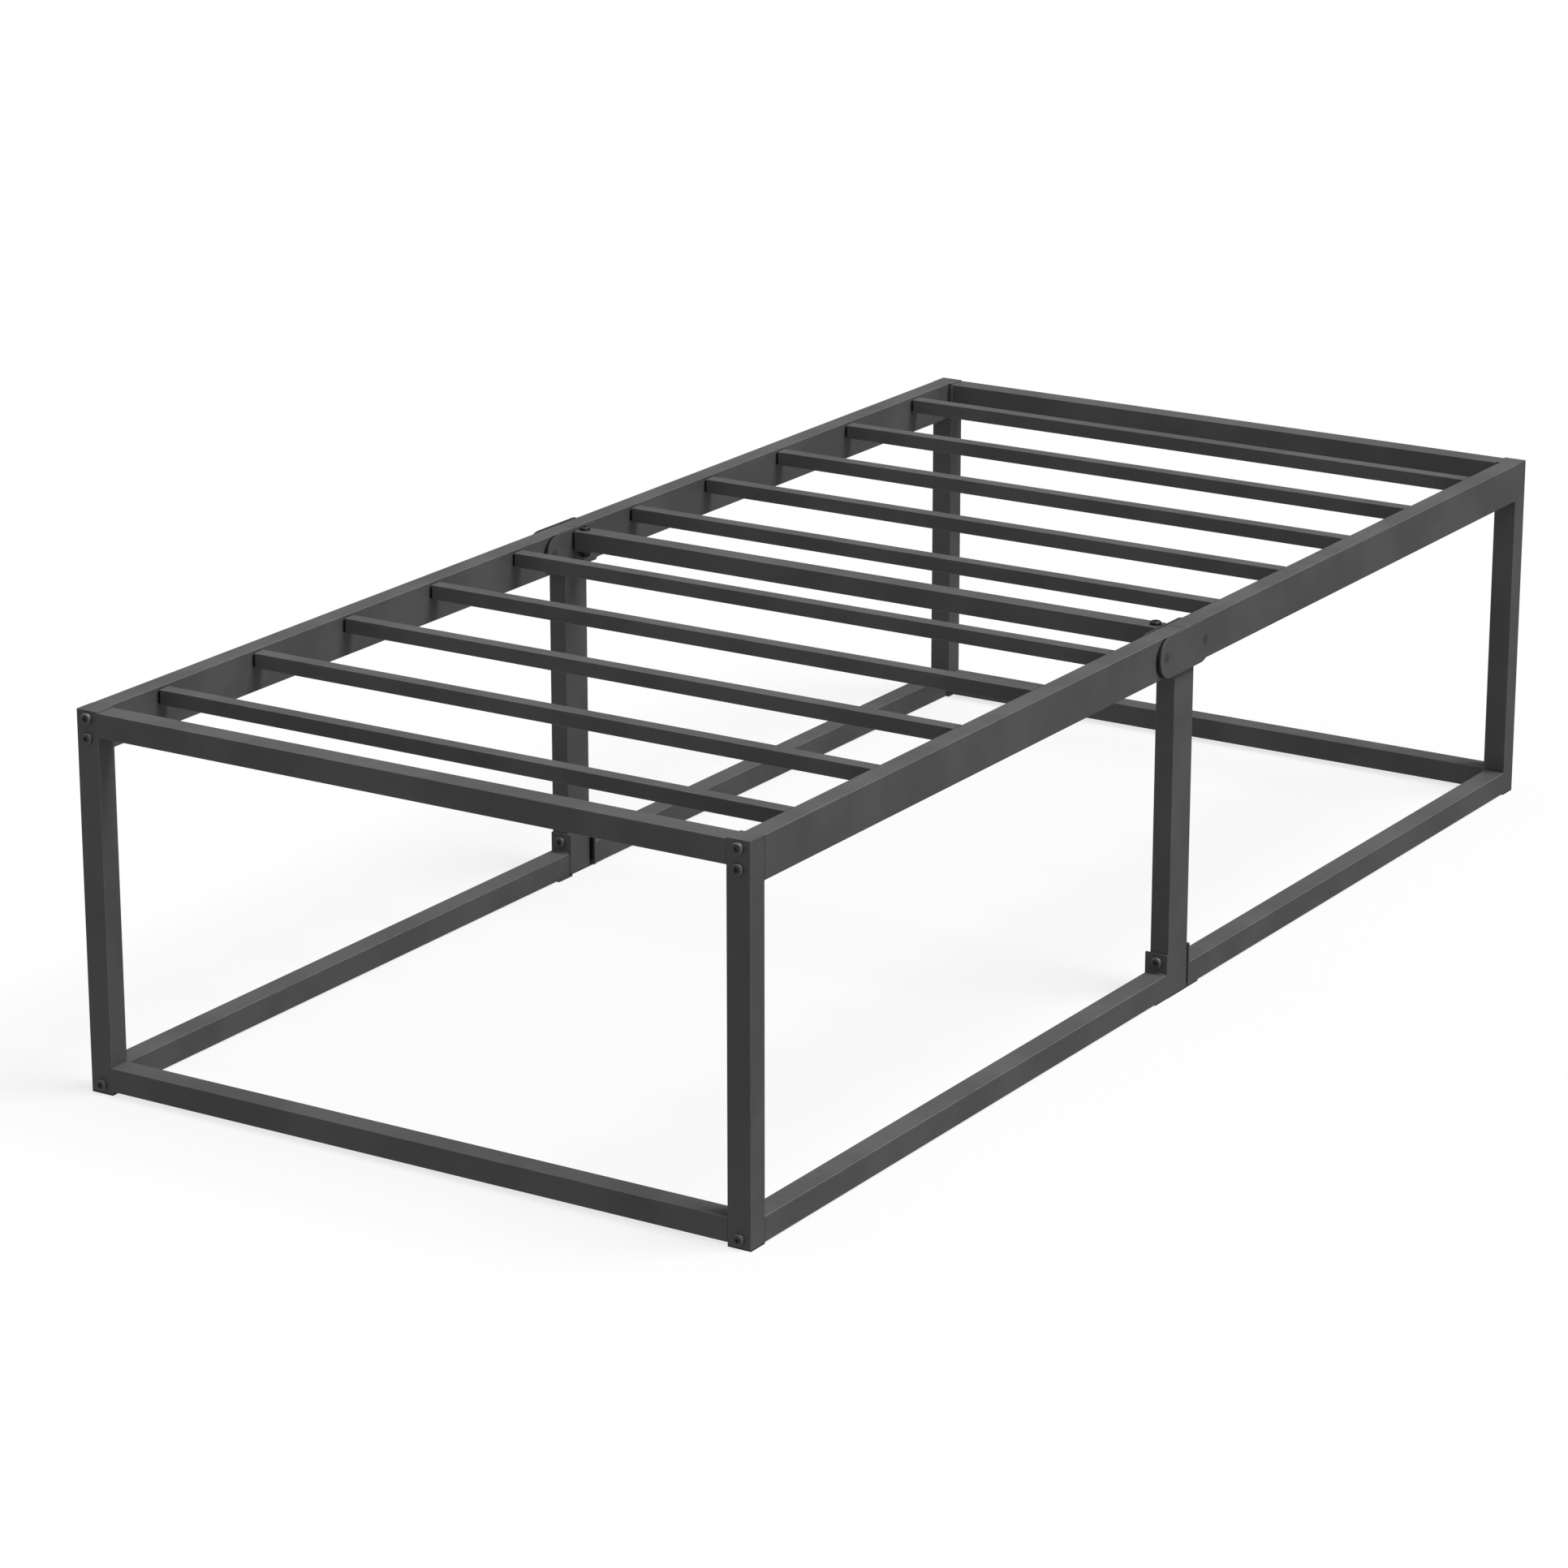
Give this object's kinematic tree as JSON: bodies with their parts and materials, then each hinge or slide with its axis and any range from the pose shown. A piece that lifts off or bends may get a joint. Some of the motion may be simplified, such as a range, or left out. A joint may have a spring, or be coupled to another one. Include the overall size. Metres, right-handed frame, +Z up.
{
  "type": "folding metal bed frame",
  "caption": "Low metal platform bed frame with slats, lower rails and posts; side rails split at a middle fold so one half swings up.",
  "frame": {"origin": "on the floor, under the middle of the frame", "axes": "+Z up, +Y along the bed from near end to far end, +X to the right-hand side"},
  "size_m": [0.9018, 1.9138, 0.4599],
  "materials": {
    "frame_paint": "matt dark grey powder coat with a fine grain",
    "rivet_paint": "matt dark grey powder coat, worn",
    "bolt_paint": "satin dark grey, like the frame",
    "black_bolts": "black oxide, satin",
    "zinc_steel": "zinc plated",
    "black_plastic": "matt moulded"
  },
  "bodies": {
    "near_half": {"near_left_post": "frame_paint", "near_left_side_rail": "frame_paint", "near_left_lower_rail": "frame_paint", "near_right_post": "frame_paint", "near_right_side_rail": "frame_paint", "near_right_lower_rail": "frame_paint", "near_top_end_rail": "frame_paint", "near_bottom_end_rail": "frame_paint", "near_slat_1": "frame_paint", "near_slat_2": "frame_paint", "near_slat_3": "frame_paint", "near_slat_4": "frame_paint", "near_slat_5": "frame_paint", "near_slat_caps": "black_plastic", "near_post_lids": "frame_paint", "near_post_glides": "black_plastic", "near_side_rail_bolts": "bolt_paint", "near_lower_rail_bolts": "bolt_paint", "near_nut_plates": "zinc_steel", "near_lower_end_plates": "frame_paint", "left_middle_post": "frame_paint", "right_middle_post": "frame_paint", "middle_post_saddles": "frame_paint", "middle_post_glides": "black_plastic", "middle_post_ledges": "frame_paint", "middle_post_bolts": "bolt_paint", "hinge_pivots": "rivet_paint", "pivot_sleeves": "zinc_steel"},
    "far_half": {"far_left_post": "frame_paint", "far_left_side_rail": "frame_paint", "far_left_lower_rail": "frame_paint", "far_right_post": "frame_paint", "far_right_side_rail": "frame_paint", "far_right_lower_rail": "frame_paint", "far_top_end_rail": "frame_paint", "far_bottom_end_rail": "frame_paint", "far_slat_1": "frame_paint", "far_slat_2": "frame_paint", "far_slat_3": "frame_paint", "far_slat_4": "frame_paint", "far_slat_5": "frame_paint", "far_slat_caps": "black_plastic", "far_post_lids": "frame_paint", "far_post_glides": "black_plastic", "far_side_rail_bolts": "bolt_paint", "far_lower_rail_bolts": "bolt_paint", "far_nut_plates": "zinc_steel", "far_lower_end_plates": "frame_paint", "middle_crossbar": "frame_paint", "crossbar_caps": "black_plastic", "crossbar_brackets": "frame_paint", "crossbar_bolts": "black_bolts", "crossbar_nuts": "black_bolts", "outer_hinge_plates": "frame_paint", "inner_hinge_plates": "frame_paint", "hinge_liners": "black_plastic", "far_end_pads": "black_plastic", "far_rest_plates": "frame_paint", "fixing_rivets": "rivet_paint", "fixing_sleeves": "zinc_steel"}
  },
  "joints": [
    {"name": "fold", "type": "hinge", "parent": "near_half", "child": "far_half", "pos_m": [0, -0.0533, 0.433], "axis": [1, 0, 0], "range_deg": [0, 105]}
  ]
}
